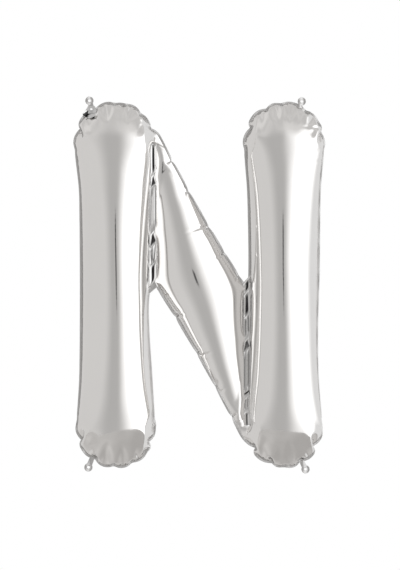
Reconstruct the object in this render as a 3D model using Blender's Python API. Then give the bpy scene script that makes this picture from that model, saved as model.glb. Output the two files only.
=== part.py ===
"""Letter N foil balloon: two foil panels, the weld that joins them, two webs, hang tabs and a fill neck.

Metres, +Z up, the front faces -Y. The origin is the middle of the letter, where the air holds it up.
The film of the real balloon is a few hundredths of a millimetre thick; the panels here are 2 mm thick.
"""

import math

import bmesh
import bpy
from mathutils import Vector

# The letter
BODY_HEIGHT = 0.780  # a stem, from weld edge to weld edge
STEM_SPACING = 0.356  # between the centre lines of the two stems
STEM_RADIUS = 0.0715  # the round middle of a stem
WEB_WIDTH = 0.014  # flat strip between a stem's wall and the diagonal's wall
WEB_FOOT = 0.0125  # how far past the middle the strip goes, down to the open notch

# The ends of a stem, where the tube is flatter and so wider
CAP_LENGTH = 0.0780
FLARE_LENGTH = 0.125

# A stem's half-depth grows from nothing at its end, fast at first and then ever more slowly
STEM_DEPTH = 0.0750
DEPTH_REACH = 0.0545
DEPTH_RISE = 0.73

# stem: its x, and the half-widths of its top (left, right) and of its foot (left, right)
STEMS = {
    "left": (-STEM_SPACING / 2, (0.0820, 0.0745), (0.0770, 0.0765)),
    "right": (STEM_SPACING / 2, (0.0785, 0.0790), (0.0735, 0.0730)),
}

# The diagonal, a four-sided pillow with a pointed top and foot
DIAGONAL_TIP = 0.322  # height of its upper point above the middle
DIAGONAL_SHOULDER = 0.004  # height at which its lower slanted edge ends at the left wall
DIAGONAL_BOW = 0.006  # how far its slanted edges are pulled in
DIAGONAL_FULLNESS = 0.81  # half-depth over half-width, where it is narrow
DIAGONAL_FLATTENING = 0.21  # how much less that is where it is widest

# Film and weld
PANEL_THICKNESS = 0.002
WELD_THICKNESS = 0.0012
WELD_WIDTH = 0.005  # shown outside the chambers
WELD_LAP = 0.003  # under the panel's edge
SEAT_GAP = 0.0003  # between pieces that rest on each other
SCALLOP_DEPTH = 0.0022
SCALLOPS = 9  # round one end of a stem

# The air passage at each joined corner, between stem and diagonal
DUCT_RADIUS = 0.0085

# Hang tabs
TAB_RADIUS = 0.0082
TAB_HOLE_RADIUS = 0.0033
TAB_NECK_WIDTH = 0.0110

# Fill neck, under the upper left tab
FILL_NECK_FOOT_WIDTH = 0.0240
FILL_NECK_DEPTH = 0.0240  # down from the tab, to well under the weld's edge
FILL_HOLE_RADIUS = 0.0030
FILL_HOLE_DOWN = 0.0050  # from the neck's top to the middle of its hole

# How finely round shapes are divided
RING_POINTS = 32
CAP_RINGS = 7
FLARE_RINGS = 5
DIAGONAL_RINGS = 22
OUTLINE_CAP_POINTS = 72

CHAMBER_HALF_HEIGHT = BODY_HEIGHT / 2 - WELD_WIDTH
WEB_X = STEM_SPACING / 2 - STEM_RADIUS - WEB_WIDTH  # the diagonal's upright wall
DIAGONAL_RUN = DIAGONAL_TIP + DIAGONAL_SHOULDER  # height over which a slanted edge goes across
DIAGONAL_SLOPE = 2 * WEB_X / DIAGONAL_RUN
DIAGONAL_STRETCH = math.hypot(1, DIAGONAL_SLOPE)
CUT = 0.5  # size of a block that cuts one side away
CUTTER_THICKNESS = 4 * WELD_THICKNESS

# name: where the hole's centre is (x, z), and where the tab leaves the weld (x, z)
TABS = {
    "hang_tab_top_left": ((-0.2343, 0.3911), (-0.2325, 0.3810)),
    "hang_tab_top_right": ((0.2158, 0.3896), (0.2114, 0.3780)),
    "hang_tab_bottom_left": ((-0.2364, -0.3869), (-0.2295, -0.3630)),
    "hang_tab_bottom_right": ((0.2237, -0.3911), (0.2150, -0.3720)),
}

# slot: base colour, metallic, roughness
FINISHES = {
    "foil": ((0.80, 0.79, 0.78), 1.0, 0.10),
    "weld": ((0.74, 0.73, 0.72), 1.0, 0.22),
    "tab": ((0.72, 0.71, 0.70), 1.0, 0.26),
    "valve_film": ((0.70, 0.70, 0.69), 1.0, 0.30),
}


def clear_scene():
    for leftover in list(bpy.data.objects):
        bpy.data.objects.remove(leftover)


def finish(slot):
    material = bpy.data.materials.get(slot)
    if material is None:
        colour, metallic, roughness = FINISHES[slot]
        material = bpy.data.materials.new(slot)
        material.use_nodes = True
        shader = material.node_tree.nodes["Principled BSDF"]
        shader.inputs["Base Color"].default_value = (*colour, 1.0)
        shader.inputs["Metallic"].default_value = metallic
        shader.inputs["Roughness"].default_value = roughness
        material.diffuse_color = (*colour, 1.0)
    return material


def object_from(name, mesh_builder):
    """A new object in the scene from a bmesh, with its faces turned out."""
    bmesh.ops.recalc_face_normals(mesh_builder, faces=mesh_builder.faces)
    if mesh_builder.calc_volume(signed=True) < 0:
        bmesh.ops.reverse_faces(mesh_builder, faces=mesh_builder.faces)
    mesh = bpy.data.meshes.new(name)
    mesh_builder.to_mesh(mesh)
    mesh_builder.free()
    made = bpy.data.objects.new(name, mesh)
    bpy.context.scene.collection.objects.link(made)
    return made


def lofted(name, rings, tips):
    """A closed solid through rings of points, one ring after the other, closed at each end by a point."""
    builder = bmesh.new()
    made = [[builder.verts.new(point) for point in ring] for ring in rings]
    for lower, upper in zip(made, made[1:]):
        for i in range(len(lower)):
            j = (i + 1) % len(lower)
            builder.faces.new((lower[i], lower[j], upper[j], upper[i]))
    for ring, tip in ((made[0], tips[0]), (made[-1], tips[1])):
        end = builder.verts.new(tip)
        for i in range(len(ring)):
            builder.faces.new((ring[i], ring[(i + 1) % len(ring)], end))
    return object_from(name, builder)


def plate(name, outline, thickness=WELD_THICKNESS):
    """A flat plate in the letter's middle plane from an outline of (x, z) points."""
    builder = bmesh.new()
    face = builder.faces.new([builder.verts.new((x, -thickness / 2, z)) for x, z in outline])
    swept = bmesh.ops.extrude_face_region(builder, geom=[face])
    moved = [part for part in swept["geom"] if isinstance(part, bmesh.types.BMVert)]
    bmesh.ops.translate(builder, verts=moved, vec=(0, thickness, 0))
    return object_from(name, builder)


def block(name, low, high):
    builder = bmesh.new()
    bmesh.ops.create_cube(builder, size=1.0)
    for vert in builder.verts:
        vert.co = Vector(low) + (vert.co + Vector((0.5, 0.5, 0.5))) * (Vector(high) - Vector(low))
    return object_from(name, builder)


def rod(name, start, end, radius):
    """A round bar between two points, with flat ends."""
    along = Vector(end) - Vector(start)
    builder = bmesh.new()
    bmesh.ops.create_cone(
        builder,
        cap_ends=True,
        segments=RING_POINTS // 2,
        radius1=radius,
        radius2=radius,
        depth=along.length,
    )
    turn = along.to_track_quat("Z", "Y").to_matrix()
    for vert in builder.verts:
        vert.co = turn @ vert.co + (Vector(start) + Vector(end)) / 2
    return object_from(name, builder)


def combine(base, operation, *others):
    """Joins the others to base, cuts them from it, or keeps what they share, and removes them."""
    for other in others:
        step = base.modifiers.new(operation, "BOOLEAN")
        step.operation = operation
        step.object = other
        step.solver = "EXACT"
    bpy.context.view_layer.update()
    graph = bpy.context.evaluated_depsgraph_get()
    mesh = bpy.data.meshes.new_from_object(base.evaluated_get(graph))
    base.modifiers.clear()
    base.data = mesh
    for other in others:
        bpy.data.objects.remove(other)
    return base


def copy_of(source, name):
    made = bpy.data.objects.new(name, source.data.copy())
    bpy.context.scene.collection.objects.link(made)
    return made


def finished(made, name, slot):
    """Names the object and its mesh, gives it its material, and shades its round faces smooth."""
    made.name = name
    made.data.name = name
    made.data.materials.clear()
    made.data.materials.append(finish(slot))
    made.data.shade_smooth()
    made.data.set_sharp_from_angle(angle=math.radians(30))
    return made


def cap_share(from_end):
    """How wide the round end of a stem is at a distance from its chamber's end, from 0 to 1."""
    return math.sqrt(max(0.0, 1 - ((CAP_LENGTH - from_end) / CAP_LENGTH) ** 2))


def stem_half_width(from_end, cap_half_width):
    if from_end < CAP_LENGTH:
        return cap_half_width * cap_share(from_end)
    along = min(1.0, (from_end - CAP_LENGTH) / FLARE_LENGTH)
    return STEM_RADIUS + (cap_half_width - STEM_RADIUS) * (1 + math.cos(math.pi * along)) / 2


def stem_half_depth(from_end):
    return STEM_DEPTH * (1 - math.exp(-((from_end / DEPTH_REACH) ** DEPTH_RISE)))


def stem_stations():
    """Distances from the chamber's end at which a stem's shape is given, for one half of its length."""
    cap = [
        CAP_LENGTH * (1 - math.cos(math.radians(90) * i / CAP_RINGS))
        for i in range(1, CAP_RINGS + 1)
    ]
    flare = [CAP_LENGTH + FLARE_LENGTH * i / FLARE_RINGS for i in range(1, FLARE_RINGS + 1)]
    return cap + flare + [CHAMBER_HALF_HEIGHT]


def ellipse(x, z, left, right, half_depth):
    """A ring of points round x, wider on one side than on the other."""
    points = []
    for i in range(RING_POINTS):
        angle = 2 * math.pi * (i + 0.5) / RING_POINTS
        half_width = right if math.cos(angle) > 0 else left
        points.append((x + half_width * math.cos(angle), half_depth * math.sin(angle), z))
    return points


def stem(name, side, inset=0.0):
    """A stem's inflated tube, drawn in by inset."""
    x, top, foot = STEMS[side]
    squeeze = (CHAMBER_HALF_HEIGHT - inset) / CHAMBER_HALF_HEIGHT
    stations = stem_stations()
    rings = []
    for end, halves, order in ((1, top, stations), (-1, foot, list(reversed(stations))[1:])):
        for from_end in order:
            left, right = (stem_half_width(from_end, half) for half in halves)
            depth = stem_half_depth(from_end)
            sizes = [max(size - inset, 0.3 * size) for size in (left, right, depth)]
            height = end * (CHAMBER_HALF_HEIGHT - from_end) * squeeze
            rings.append(ellipse(x, height, *sizes))
    tip = CHAMBER_HALF_HEIGHT - inset
    return lofted(name, rings, ((x, 0, tip), (x, 0, -tip)))


def diagonal_tip(grow):
    """The height at which the diagonal's two edges meet when they are moved out by grow."""
    low, high = 0.0, 2 * DIAGONAL_TIP
    for _ in range(40):
        middle = (low + high) / 2
        if diagonal_right(middle, grow) > diagonal_left(middle, grow):
            low = middle
        else:
            high = middle
    return low


def diagonal_right(z, grow):
    """The diagonal's right edge at a height, moved out by grow: slanted at first, then upright."""
    down = (DIAGONAL_TIP - z) / DIAGONAL_RUN
    bow = DIAGONAL_BOW * math.sin(math.pi * min(1.0, max(0.0, down)))
    slanted = -WEB_X + 2 * WEB_X * down - bow + grow * DIAGONAL_STRETCH
    return min(slanted, WEB_X + grow)


def diagonal_left(z, grow):
    """The left edge is the right edge turned half round."""
    return -diagonal_right(-z, grow)


def diagonal(name, inset=0.0):
    """The diagonal's inflated pillow, drawn in by inset."""
    tip = diagonal_tip(-inset)
    rings = []
    for i in range(1, DIAGONAL_RINGS):
        z = tip * math.cos(math.pi * i / DIAGONAL_RINGS)
        left, right = diagonal_left(z, 0), diagonal_right(z, 0)
        half = (right - left) / 2
        width = max(half - inset, 0.3 * half)
        fullness = DIAGONAL_FULLNESS - DIAGONAL_FLATTENING * (half / WEB_X) ** 4
        depth = max(half * fullness - inset, 0.3 * half)
        rings.append(ellipse((left + right) / 2, z, width, width, depth))
    end = diagonal_left(tip, -inset)
    return lofted(name, rings, ((end, 0, tip), (-end, 0, -tip)))


def duct(name, side, inset=0.0):
    """The pinched passage at a joined corner: side is 1 at the top left and -1 at the bottom right."""
    reach = 2 * inset
    stem_end = (-WEB_X - WEB_WIDTH - 0.012 - reach, 0, DIAGONAL_TIP - 0.004)
    diagonal_end = (-WEB_X + 0.012 + reach, 0, DIAGONAL_TIP - 0.036 - reach)
    turned = [tuple(side * value for value in point) for point in (stem_end, diagonal_end)]
    return rod(name, turned[0], turned[1], DUCT_RADIUS - inset)


def chamber(name, inset=0.0):
    """The whole inflated letter as one solid, drawn in by inset."""
    made = diagonal(name, inset)
    ducts = [duct("duct", side, inset) for side in (1, -1)]
    stems = [stem("stem", side, inset) for side in STEMS]
    return combine(made, "UNION", *ducts, *stems)


def panels():
    """The front and back foil panels: the letter's skin, split along the weld."""
    skin = combine(chamber("skin"), "DIFFERENCE", chamber("inside", PANEL_THICKNESS))
    edge = WELD_THICKNESS / 2 + SEAT_GAP
    back = copy_of(skin, "back")
    combine(skin, "DIFFERENCE", block("behind", (-CUT, -edge, -CUT), (CUT, CUT, CUT)))
    combine(back, "DIFFERENCE", block("before", (-CUT, -CUT, -CUT), (CUT, edge, CUT)))
    return finished(skin, "front_panel", "foil"), finished(back, "back_panel", "foil")


def grown(outline, by, closed=True):
    """An outline moved out along its own normals. It runs anticlockwise, seen from the front."""
    moved = []
    last = len(outline) - 1
    for i, point in enumerate(outline):
        before = outline[i - 1] if closed or i else point
        after = outline[(i + 1) % len(outline)] if closed or i < last else point
        along = (Vector(after) - Vector(before)).normalized()
        moved.append((point[0] + along.y * by, point[1] - along.x * by))
    return moved


def end_outline(side, end, grow, scallop=0.0):
    """Half of a stem's edge: up its right side, over its end and down its left, moved out by grow.

    end is 1 for the top and -1 for the foot, whose outline is turned half round.
    """
    x, top, foot = STEMS[side]
    left, right = top if end > 0 else tuple(reversed(foot))
    flare = [CAP_LENGTH + FLARE_LENGTH * i / FLARE_RINGS for i in range(1, FLARE_RINGS + 1)]
    points = [(stem_half_width(s, right), s) for s in reversed(flare)]
    for i in range(OUTLINE_CAP_POINTS + 1):
        angle = math.pi * i / OUTLINE_CAP_POINTS
        half = right if angle < math.pi / 2 else left
        points.append((half * math.cos(angle), CAP_LENGTH * (1 - math.sin(angle))))
    points += [(-stem_half_width(s, left), s) for s in flare]
    outline = grown([(px, CHAMBER_HALF_HEIGHT - s) for px, s in points], grow, closed=False)
    middle = Vector((0, CHAMBER_HALF_HEIGHT - CAP_LENGTH))
    waved = []
    for i, point in enumerate(outline):
        share = min(1.0, max(0.0, (i - FLARE_RINGS) / OUTLINE_CAP_POINTS))
        wave = scallop * (abs(math.sin(math.pi * SCALLOPS * share)) - 0.5)
        inside = 0 < share < 1
        shift = (Vector(point) - middle).normalized() * (wave if inside else 0.0)
        waved.append((x + end * (point[0] + shift.x), end * (point[1] + shift.y)))
    return waved


def stem_outline(side, grow, scallop=0.0):
    """The whole edge of a stem, moved out by grow, with scallops round its two ends."""
    return end_outline(side, 1, grow, scallop) + end_outline(side, -1, grow, scallop)


def diagonal_outline(grow):
    tip = diagonal_tip(grow)
    count = DIAGONAL_RINGS * 2
    heights = [tip * math.cos(math.pi * i / count) for i in range(count + 1)]
    left = [(diagonal_left(z, grow), z) for z in heights]
    right = [(diagonal_right(z, grow), z) for z in reversed(heights)]
    return left[:-1] + right[:-1]


def whole_plate(name, grow, scallop=0.0, thickness=WELD_THICKNESS):
    """The letter's outline as one plate, with the web strips filled in."""
    made = plate(name, diagonal_outline(grow), thickness)
    strips = []
    for side in (1, -1):
        corners = [
            (side * (-WEB_X - WEB_WIDTH), side * -WEB_FOOT),
            (side * (-WEB_X + 0.001), side * -WEB_FOOT),
            (side * (-WEB_X + 0.001), side * (DIAGONAL_TIP + 0.008)),
            (side * (-WEB_X - WEB_WIDTH), side * (DIAGONAL_TIP + 0.014)),
        ]
        strips.append(plate("strip", corners, thickness))
    stems = [plate("stem", stem_outline(side, grow, scallop), thickness) for side in STEMS]
    return combine(made, "UNION", *strips, *stems)


def welds():
    """The weld round the letter's edge, and the two webs that hold the diagonal to the stems."""
    band = whole_plate("band", WELD_WIDTH, SCALLOP_DEPTH)
    inner = -WELD_LAP
    hollows = [plate("hollow", stem_outline(side, inner), CUTTER_THICKNESS) for side in STEMS]
    hollows.append(plate("hollow", diagonal_outline(inner), CUTTER_THICKNESS))
    combine(band, "DIFFERENCE", *hollows)

    webs = []
    for side, name in ((1, "web_left"), (-1, "web_right")):
        web = copy_of(band, name)
        combine(web, "INTERSECT", web_zone(side, SEAT_GAP / 2))
        webs.append(finished(web, name, "weld"))
    combine(band, "DIFFERENCE", *[web_zone(side, -SEAT_GAP / 2) for side in (1, -1)])
    return finished(band, "rim_weld", "weld"), webs


def web_zone(side, inset):
    """The block that holds a web: drawn in by inset for the web, grown for the rest of the weld."""
    reach = WELD_LAP + 0.004
    low = (-WEB_X - WEB_WIDTH - reach, -CUT, -WEB_FOOT + 0.012 + inset)
    high = (-WEB_X + reach, CUT, DIAGONAL_TIP - 0.006 - inset)
    if side > 0:
        return block("zone", low, high)
    return block("zone", [-value for value in high], [-value for value in low])


def circle(middle, radius, count=16):
    angles = [2 * math.pi * i / count for i in range(count)]
    return [(middle[0] + radius * math.cos(a), middle[1] + radius * math.sin(a)) for a in angles]


def tab(name, hole, root):
    """A hang tab: a round end with a hole, on a short neck that meets the weld's edge."""
    hole, root = Vector(hole), Vector(root)
    up = (hole - root).normalized()
    across = Vector((up.y, -up.x))
    turn = math.asin(TAB_NECK_WIDTH / 2 / TAB_RADIUS)
    points = []
    for i in range(25):
        angle = turn + (2 * math.pi - 2 * turn) * i / 24
        points.append(hole - up * TAB_RADIUS * math.cos(angle) + across * TAB_RADIUS * math.sin(angle))
    points += [root - across * TAB_NECK_WIDTH / 2, root + across * TAB_NECK_WIDTH / 2]
    made = plate(name, [tuple(point) for point in points])
    punch = plate("punch", circle(hole, TAB_HOLE_RADIUS), CUTTER_THICKNESS)
    combine(made, "DIFFERENCE", punch, weld_cutter())
    return finished(made, name, "tab")


def weld_cutter():
    """The letter's outline with the seat gap round it, to trim what stands on the weld's edge."""
    return whole_plate("weld_cutter", WELD_WIDTH + SEAT_GAP, SCALLOP_DEPTH, CUTTER_THICKNESS)


def fill_neck():
    """The flat two-ply neck under the upper left tab, with the hole through which gas is let in."""
    hole, root = (Vector(place) for place in TABS["hang_tab_top_left"])
    up = (hole - root).normalized()
    across = Vector((up.y, -up.x))
    top = root - up * SEAT_GAP
    foot = top - up * FILL_NECK_DEPTH
    corners = [
        top - across * TAB_NECK_WIDTH / 2,
        foot - across * FILL_NECK_FOOT_WIDTH / 2,
        foot + across * FILL_NECK_FOOT_WIDTH / 2,
        top + across * TAB_NECK_WIDTH / 2,
    ]
    made = plate("fill_neck", [tuple(corner) for corner in corners])
    punch = plate("punch", circle(top - up * FILL_HOLE_DOWN, FILL_HOLE_RADIUS), CUTTER_THICKNESS)
    combine(made, "DIFFERENCE", punch, weld_cutter())
    return finished(made, "fill_neck", "valve_film")


def main():
    clear_scene()
    panels()
    welds()
    for name, (hole, root) in TABS.items():
        tab(name, hole, root)
    fill_neck()


main()
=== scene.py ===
# %% [markdown]
# # A silver foil letter N
# The real balloon is two sheets of metallised film, cut to one outline and welded together along its edge.
# Filled with gas, each stem turns into a tube, the edge can't shrink with it, and the spare edge folds into
# pleats. Everything that makes foil look like foil comes from those pleats and from what the mirror shows.
# So this lesson doesn't sculpt the shape: it cuts the flat sheet, fills it with gas, and lights it.

# %% Load the frame
import math

import bmesh
import bpy
import numpy as np
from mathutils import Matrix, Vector
from mathutils.bvhtree import BVHTree
from mathutils.geometry import delaunay_2d_cdt


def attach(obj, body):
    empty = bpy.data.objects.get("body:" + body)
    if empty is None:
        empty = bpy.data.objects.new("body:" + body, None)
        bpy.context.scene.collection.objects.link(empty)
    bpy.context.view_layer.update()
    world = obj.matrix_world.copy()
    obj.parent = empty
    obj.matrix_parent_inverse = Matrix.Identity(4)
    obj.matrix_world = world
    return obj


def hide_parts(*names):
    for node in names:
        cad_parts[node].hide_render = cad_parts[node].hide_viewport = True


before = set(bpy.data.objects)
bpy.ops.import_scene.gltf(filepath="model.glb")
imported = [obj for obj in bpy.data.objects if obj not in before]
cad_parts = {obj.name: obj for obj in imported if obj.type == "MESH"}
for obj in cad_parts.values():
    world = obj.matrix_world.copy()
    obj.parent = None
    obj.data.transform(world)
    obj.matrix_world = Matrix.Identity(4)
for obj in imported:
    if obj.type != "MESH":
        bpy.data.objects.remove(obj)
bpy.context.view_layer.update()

# %% [markdown]
# ## Camera
# A long lens from straight ahead keeps both stems parallel. The camera stands level with the middle of the
# letter, at a distance where the frame is 1.21 m tall, so nothing is shifted or tilted.

# %% Camera
VIEW_HEIGHT = 1.208
LENS = 100.0
SENSOR = 36.0
CAMERA_DISTANCE = VIEW_HEIGHT * LENS / SENSOR

camera_data = bpy.data.cameras.new("camera")
camera_data.lens = LENS
camera_data.sensor_width = SENSOR
camera = bpy.data.objects.new("camera", camera_data)
camera.location = (0, -CAMERA_DISTANCE, 0)
camera.rotation_euler = (math.radians(90), 0, 0)
bpy.context.scene.collection.objects.link(camera)
bpy.context.scene.camera = camera
bpy.context.scene.view_settings.view_transform = "Standard"
print("camera at", round(CAMERA_DISTANCE, 3), "m")

# %% [markdown]
# ## The seam of the filled letter
# The weld is a line that all the rest hangs on. Its filled shape is easy to see in any picture of such a
# letter, so it is drawn first: straight sides, a flared round end on each stem, and a slanted edge on each
# side of the diagonal. Each stem is drawn once, from where the diagonal joins it, over its end, down its
# outer side and up to the open notch. The right stem is the same path turned half round.

# %% Driving sizes
STEM_X = 0.178
STEM_RADIUS = 0.0715
CHAMBER_TOP = 0.385
CAP_LENGTH = 0.078
FLARE_LENGTH = 0.125
WELD_WIDTH = 0.005
STEM_WEB_X = STEM_X - STEM_RADIUS  # the seam between a stem and a web
DIAGONAL_WEB_X = 0.0925  # the seam between the diagonal and a web
DIAGONAL_SHOULDER = 0.004
DIAGONAL_RUN = 0.326
DIAGONAL_BOW = 0.006
SLIT_TOP = 0.300
PINCH = 0.0026

# side: the turn, half-widths of the joined end and of the free end (outer, inner), angle of the joint, how far
# the outer side and the free inner side are drawn in, and the heights at which the web is pinched
STEMS = {
    "left": (1, (0.0820, 0.0745), (0.0770, 0.0765), 17, 0.0, 0.0085, (0.233, 0.113, 0.001)),
    "right": (-1, (0.0730, 0.0735), (0.0790, 0.0785), 27, 0.006, 0.002, (0.243, 0.113, -0.002)),
}

# side: the pleats, as angles over the joined end and over the free end, both from the inner side, as heights
# on the outer side and on the free inner side, and as shares of the slanted edge from the notch
PLEATS = {
    "left": ((33, 49, 74, 91, 112, 124, 159), (22, 42, 65, 95, 123, 161), (0.270,), (-0.275,), (0.21, 0.45, 0.67, 0.86)),
    "right": ((38, 74, 91, 114, 151), (23, 64, 88, 121, 139, 149, 166), (-0.265,), (-0.253,), (0.06, 0.21, 0.39, 0.62, 0.82)),
}

# %% [markdown]
# ## The flat pattern
# A tube of radius r takes a flat width of pi r, half of it in each sheet. The seam keeps its length, so the
# flat end of a stem is a half circle that is a good deal longer than the filled end. That spare length is
# what goes into the pleats.

# %% Flat sizes
FLAT_HALF = math.pi * STEM_RADIUS / 2
FLAT_TOP = 0.3985
FLAT_CAP = FLAT_HALF
FLAT_SIDE_TOP = FLAT_TOP - FLAT_CAP
FLAT_DIAGONAL = 0.262
FLAT_WEB = 0.014
FLAT_STEM_X = FLAT_HALF + FLAT_WEB + FLAT_DIAGONAL / 2
FLAT_JOINT_Z = 0.342
FLAT_SLIT_TOP = 0.296
JOINT_TURN = math.asin((FLAT_JOINT_Z - FLAT_SIDE_TOP) / FLAT_CAP)
FLAT_SLANT = ((-FLAT_DIAGONAL / 2, 0.0), (FLAT_STEM_X - FLAT_HALF * math.cos(JOINT_TURN), -FLAT_JOINT_Z))
print("flat letter:", round(2 * FLAT_TOP + 2 * WELD_WIDTH, 3), "m tall")

# %% [markdown]
# ## Drawing the seam twice
# Every stretch of the seam is drawn as two lines: where it lies in the flat sheet and where it lies on the
# filled letter. Between two pleats both lines get the same number of points, so a point on one is the same
# bit of film as its partner on the other.

# %% Seam lines
SIDE_STEPS = 60


def half_width(from_end, cap_half):
    if from_end < CAP_LENGTH:
        return cap_half * math.sqrt(max(0.0, 1 - (1 - from_end / CAP_LENGTH) ** 2))
    along = min(1.0, (from_end - CAP_LENGTH) / FLARE_LENGTH)
    return STEM_RADIUS + (cap_half - STEM_RADIUS) * (1 + math.cos(math.pi * along)) / 2


def run(start, end, count=SIDE_STEPS):
    return [start + (end - start) * i / count for i in range(count + 1)]


def end_arc(outer, inner, first, last, end):
    """The seam over a stem's end, from the angle first to the angle last, then down to the flat side's start."""
    points = []
    for angle in run(math.radians(first), math.radians(last)):
        half = inner if math.cos(angle) > 0 else outer
        points.append((-STEM_X + half * math.cos(angle), end * (CHAMBER_TOP - CAP_LENGTH + CAP_LENGTH * math.sin(angle))))
    return points


def waist(height, low, high, lean=1.0):
    share = (height - low) / (high - low)
    return math.sin(math.pi * share**lean) if 0 < share < 1 else 0.0


def outer_side(height, halves, waisted):
    half = half_width(CHAMBER_TOP - abs(height), halves[0] if height > 0 else halves[1])
    return (-STEM_X - half + waisted * waist(height, -0.02, 0.27), height)


def inner_side(height, half, drawn):
    reach = half_width(CHAMBER_TOP - abs(height), half)
    return (-STEM_X + reach - drawn * waist(-height, 0.0, 0.19, 0.55), height)


def pinched(x, height, pinches, inward):
    pull = sum(math.exp(-(((height - place) / 0.011) ** 2)) for place in pinches)
    return (x + inward * PINCH * pull, height)


def slanted(end_point):
    """The lower slanted edge, from the notch down to where the other stem's end begins."""
    points = []
    for down in run(0, 1):
        bow = DIAGONAL_BOW * math.sin(math.pi * down)
        points.append((-DIAGONAL_WEB_X + 2 * DIAGONAL_WEB_X * down + bow, DIAGONAL_SHOULDER - DIAGONAL_RUN * down))
    return points + [end_point]


def joint(side):
    _, (outer, inner), _, angle, _, _, _ = STEMS[side]
    return end_arc(outer, inner, angle, 180, 1)[0]


# %% Stretches of the seam
def stretches(side):
    """The seam of one stem and one slanted edge: name, flat line, filled line and pleats for each stretch."""
    _, joined, free, angle, waisted, drawn, pinches = STEMS[side]
    over_joined, over_free, outer_pleats, inner_pleats, slant_pleats = PLEATS[side]
    flat_left, flat_right = -FLAT_STEM_X - FLAT_HALF, -FLAT_STEM_X + FLAT_HALF
    flat_cap = lambda first, last, end: [
        (-FLAT_STEM_X + FLAT_HALF * math.cos(a), end * (FLAT_SIDE_TOP + FLAT_CAP * math.sin(a)))
        for a in run(first, last)
    ]
    cap_place = lambda halves, a, end: end_arc(*halves, a, 180, end)[0]
    flare = run(CHAMBER_TOP - CAP_LENGTH, FLAT_SIDE_TOP, 6)[1:]
    halves = (joined[0], free[0])
    other = "right" if side == "left" else "left"
    joint_x, joint_z = joint(other)
    yield (
        "joined end",
        flat_cap(JOINT_TURN, math.pi, 1),
        end_arc(*joined, angle, 180, 1) + [outer_side(z, halves, waisted) for z in flare],
        [cap_place(joined, a, 1) for a in over_joined],
    )
    yield (
        "outer side",
        [(flat_left, z) for z in run(FLAT_SIDE_TOP, -FLAT_SIDE_TOP)],
        [outer_side(z, halves, waisted) for z in run(FLAT_SIDE_TOP, -FLAT_SIDE_TOP)],
        [outer_side(z, halves, waisted) for z in outer_pleats],
    )
    yield (
        "free end",
        flat_cap(math.pi, 0, -1),
        [outer_side(-z, halves, waisted) for z in reversed(flare)]
        + list(reversed(end_arc(*free, 0, 180, -1)))
        + [inner_side(-z, free[1], drawn) for z in flare],
        [cap_place(free, a, -1) for a in over_free],
    )
    yield (
        "free side",
        [(flat_right, z) for z in run(-FLAT_SIDE_TOP, 0)],
        [inner_side(z, free[1], drawn) for z in run(-FLAT_SIDE_TOP, 0)],
        [inner_side(z, free[1], drawn) for z in inner_pleats],
    )
    yield (
        "web of the stem",
        [(flat_right, z) for z in run(0, FLAT_SLIT_TOP)],
        [pinched(-STEM_WEB_X, z, pinches, 1) for z in run(0, SLIT_TOP)],
        [],
    )
    yield (
        "slit end",
        [(flat_right, FLAT_SLIT_TOP), (-FLAT_DIAGONAL / 2, FLAT_SLIT_TOP)],
        [(-STEM_WEB_X, SLIT_TOP), (-DIAGONAL_WEB_X, SLIT_TOP)],
        [],
    )
    yield (
        "web of the diagonal",
        [(-FLAT_DIAGONAL / 2, z) for z in run(FLAT_SLIT_TOP, 0)],
        [pinched(-DIAGONAL_WEB_X, z, pinches, -1) for z in run(SLIT_TOP, DIAGONAL_SHOULDER)],
        [],
    )
    slant = slanted((-joint_x, -joint_z))
    yield (
        "slanted edge",
        list(FLAT_SLANT),
        slant,
        [slant[round(share * SIDE_STEPS)] for share in slant_pleats],
    )


# %% [markdown]
# ## Pleats
# At a pleat the seam turns sharply inward and comes straight back out, like a closed V. How deep it goes
# isn't chosen: the film between two pleats is longer than the line that it has to follow, and what is left
# over is the depth. Between pleats the seam bulges out a little, which makes the scallops.

# %% Pleated seam
SEAM_STEP = 0.0038
BULGE_SHARE = 0.11
BULGE_MOST = 0.0024
BULGE_SLANT = 0.0012
SHORTEST_LOBE = 0.004


def lengths(line):
    line = np.array(line)
    return np.concatenate([[0], np.cumsum(np.linalg.norm(np.diff(line, axis=0), axis=1))])


def at(line, distances):
    line, along = np.array(line), lengths(line)
    return np.column_stack([np.interp(distances, along, line[:, k]) for k in (0, 1)])


def nearest_distance(line, point):
    distances = np.arange(0, lengths(line)[-1], 0.0005)
    return distances[int(np.argmin(np.linalg.norm(at(line, distances) - np.array(point), axis=1)))]


def outward(line, distances):
    """Unit normals on the outer side of a line that runs anticlockwise."""
    step = at(line, np.array(distances) + 0.002) - at(line, np.array(distances) - 0.002)
    step /= np.maximum(1e-9, np.linalg.norm(step, axis=1))[:, None]
    return np.column_stack([step[:, 1], -step[:, 0]])


def lobe(filled, start, end, spare, pleated, most):
    """The filled seam between two distances along a line, with half a pleat at each pleated end."""
    count = max(3, round((end - start) / 0.001))
    along = np.linspace(start, end, count)
    share = np.linspace(0, 1, count)
    size = min(most, BULGE_SHARE * (end - start)) if spare > 0 else 0.0
    rise = size * (np.sin(math.pi * share) ** 0.7 - 0.35)
    points = at(filled, along) + outward(filled, along) * rise[:, None]
    depth = max(0.0, spare) / max(1, sum(pleated))
    ends = at(filled, [start, end]) - outward(filled, [start, end]) * depth
    if pleated[0] and depth > 0:
        points = np.vstack([ends[:1], points])
    if pleated[1] and depth > 0:
        points = np.vstack([points, ends[1:]])
    return points


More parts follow.
